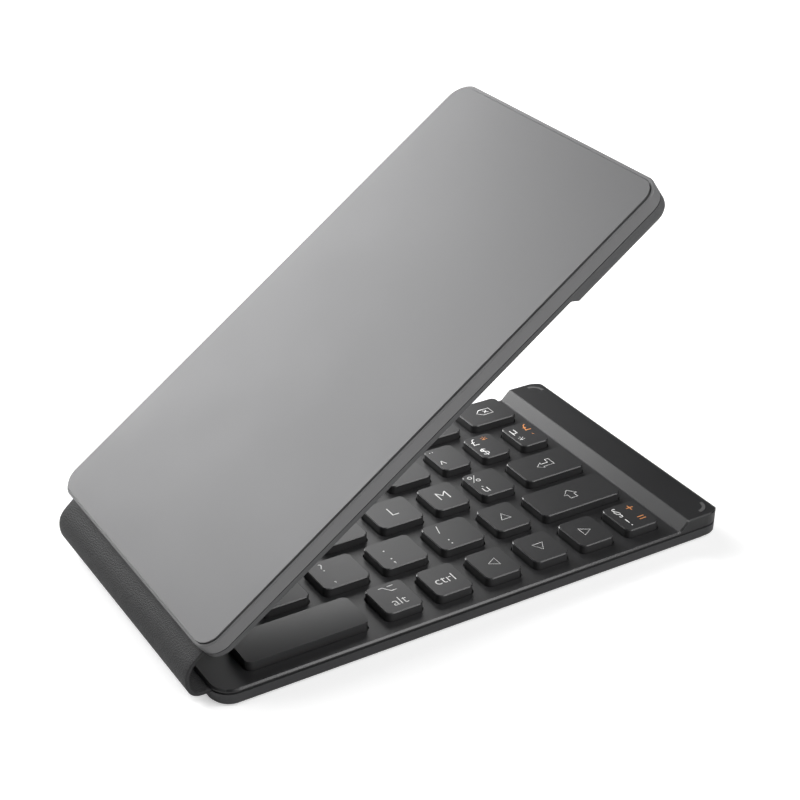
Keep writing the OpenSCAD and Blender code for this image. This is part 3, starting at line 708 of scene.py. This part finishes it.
def print_legend(name, body, caps, right):
    """All the print of one key body: for each cap its middle and its marks."""
    parts = []
    up = Vector((0, 1, 0))
    for middle, marks in caps:
        turn = Matrix((right, up, right.cross(up))).transposed().to_4x4()
        turn = Matrix.Translation(middle) @ turn
        for word, spot, size, coloured in marks:
            material = legend_orange if coloured else legend_white
            if word in SIGNS:
                mark = stroke_mesh(name, SIGNS[word], spot, material)
            else:
                mark = text_mesh(word, spot, size, material)
            mark.data.transform(turn)
            parts.append(mark)
    select_none()
    for mark in parts:
        mark.select_set(True)
    bpy.context.view_layer.objects.active = parts[0]
    if len(parts) > 1:
        bpy.ops.object.join()
    piece = bpy.context.object
    piece.name = name
    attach(piece, body)


print("inks:", legend_white.name, legend_orange.name)

# %% Print the right half
CAP_PITCH = 19
CAP_WIDTH = 14.5
CAP_DEPTH = 13

for node, legends in BASE_LEGENDS.items():
    low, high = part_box(node)
    first = (low.x + high.x) / 2 if len(legends) == 1 else low.x + CAP_WIDTH * MM / 2
    caps = [
        (Vector((first + CAP_PITCH * MM * place, (low.y + high.y) / 2, high.z)), marks)
        for place, marks in enumerate(legends)
    ]
    print_legend(node.replace("key", "legend", 1), node, caps, Vector((1, 0, 0)))
print("legends on the right half:", len(BASE_LEGENDS))

# %% [markdown]
# ## The left half, inside the lid
# The lid is tilted, so a box round its keys says little about where each cap is. The caps are found
# from the fold line instead: so far along the lid, so far across, and down to the tops of the caps.
# Each row ends at the outer edge with a wide key, and the letters follow it toward the fold.

# %% Print the left half
FOLD_GAP = 5.15
LID_CAPS_TO_FOLD = 4.65
LID_ROW_END = 122.8
FIRST_ROW = 4.95
ROW_PITCH = 17.85
LID_ROWS = [
    (15.9, [word_of("alt"), word_of("fn"), sign("branch")], word_of("ctrl")),
    (33.4, [letter(word) for word in "VCXW"], sign("shift")),
    (24.2, [letter(word) for word in "GFDSQ"], sign("caps")),
    (19.2, [letter(word) for word in "TREZA"], sign("tab")),
    (22.6, [pair(digit, mark) for digit, mark in zip("54321", "('\"é&")], word_of("esc")),
]


def lid_point(along, across):
    """A place on the tops of the lid's caps, from millimetres along and across the lid."""
    place = lid_fold + along_lid * (along + FOLD_GAP) * MM - above_lid * LID_CAPS_TO_FOLD * MM
    return place + Vector((0, across * MM - HALF_DEPTH / 2, 0))


for row, (end_width, letters, end_legend) in enumerate(LID_ROWS):
    across = FIRST_ROW + ROW_PITCH * row + CAP_DEPTH / 2
    caps = [(lid_point(LID_ROW_END - end_width / 2, across), end_legend)]
    for place, marks in enumerate(reversed(letters)):
        middle = LID_ROW_END - end_width - (place + 1) * CAP_PITCH + CAP_WIDTH / 2
        caps.append((lid_point(middle, across), marks))
    print_legend("lid_legends_row_%d" % (row + 1), "lid_keys_row_%d" % (row + 1), caps, -along_lid)
print("legends on the left half:", len(LID_ROWS))

# %% [markdown]
# ## The floor
# The keyboard stands on a white table. A plain white floor would turn grey in the soft light, and a
# glowing one would lose the shadow. So the floor is a plain pale one that adds some white of its own
# for the camera alone: less near the keyboard, where the shadow lies, and all of it far off.

# %% Floor
FLOOR_SIZE = 6
FLOOR_BELOW = 0.1 * MM
FLOOR_PALENESS = 0.8
WHITE_NEAR = 0.48
NEAR = 0.25
FAR = 0.8

bpy.ops.mesh.primitive_plane_add(size=FLOOR_SIZE, location=(0, 0, -FLOOR_BELOW))
floor = bpy.context.object
floor.name = "floor"
white = bpy.data.materials.new("white_floor")
white.use_nodes = True
tree = white.node_tree
tree.nodes.clear()
output = tree.nodes.new("ShaderNodeOutputMaterial")
diffuse = tree.nodes.new("ShaderNodeBsdfDiffuse")
diffuse.inputs["Color"].default_value = (FLOOR_PALENESS, FLOOR_PALENESS, FLOOR_PALENESS, 1)
glow = tree.nodes.new("ShaderNodeEmission")
glow.inputs["Color"].default_value = (1, 1, 1, 1)
distance = tree.nodes.new("ShaderNodeVectorMath")
distance.operation = "LENGTH"
tree.links.new(tree.nodes.new("ShaderNodeTexCoord").outputs["Object"], distance.inputs[0])
far_off = tree.nodes.new("ShaderNodeMapRange")
tree.links.new(distance.outputs["Value"], far_off.inputs["Value"])
far_off.inputs["From Min"].default_value = NEAR
far_off.inputs["From Max"].default_value = FAR
far_off.inputs["To Min"].default_value = WHITE_NEAR
camera_ray = tree.nodes.new("ShaderNodeLightPath").outputs["Is Camera Ray"]
tree.links.new(arithmetic(tree, "MULTIPLY", camera_ray, far_off.outputs[0]), glow.inputs["Strength"])
both = tree.nodes.new("ShaderNodeAddShader")
tree.links.new(diffuse.outputs[0], both.inputs[0])
tree.links.new(glow.outputs[0], both.inputs[1])
tree.links.new(both.outputs[0], output.inputs["Surface"])
floor.data.materials.append(white)
print("floor:", floor.name, "with", white.name)

# %% [markdown]
# ## The lamps
# The panel's long gradient comes from two large lamps, one at the upper left and one low at the back.
# Two on the right lift the front walls, a small one behind the keys gives their tops a sheen, and a
# weak one in front fills the shadows. Each line is a name, a place, a size in metres and a power.

# %% Lamps
LAMPS = [
    ("left_back_softbox", (-0.69, 0.40, 1.02), 0.65, 8.1),
    ("low_back_softbox", (-0.31, 1.16, 0.49), 0.65, 12.8),
    ("right_front_softbox", (0.57, -0.57, 1.02), 0.65, 6.1),
    ("low_right_softbox", (0.85, -0.85, 0.49), 0.65, 2.2),
    ("front_fill", (0.0, -0.5, 0.3), 0.3, 0.77),
    ("lamp_behind_keys", (0.06, 0.21, 0.145), 0.18, 0.3),
]
LAMPS_AIM_AT = Vector((0, 0, 0.03))

for name, place, size, power in LAMPS:
    bpy.ops.object.light_add(type="AREA", location=place)
    lamp = bpy.context.object
    lamp.name = name
    lamp.data.energy = power
    lamp.data.size = size
    lamp.visible_camera = False
    lamp.rotation_mode = "QUATERNION"
    lamp.rotation_quaternion = (LAMPS_AIM_AT - Vector(place)).to_track_quat("-Z", "Y")
print("lamps:", len(LAMPS))

# %% [markdown]
# ## The world
# A dim even light reaches into the gaps between the keys. The camera itself sees pure white, so the
# background is the same from every side.

# %% World and view
WORLD_FILL = 0.04

world = bpy.data.worlds.new("studio")
bpy.context.scene.world = world
world.use_nodes = True
tree = world.node_tree
background = tree.nodes["Background"]
background.inputs["Color"].default_value = (1, 1, 1, 1)
camera_ray = tree.nodes.new("ShaderNodeLightPath").outputs["Is Camera Ray"]
tree.links.new(arithmetic(tree, "MAXIMUM", camera_ray, WORLD_FILL), background.inputs["Strength"])
bpy.context.scene.view_settings.view_transform = "Standard"
print("world:", world.name)

# %% [markdown]
# ## The end

# %% Finish
import json
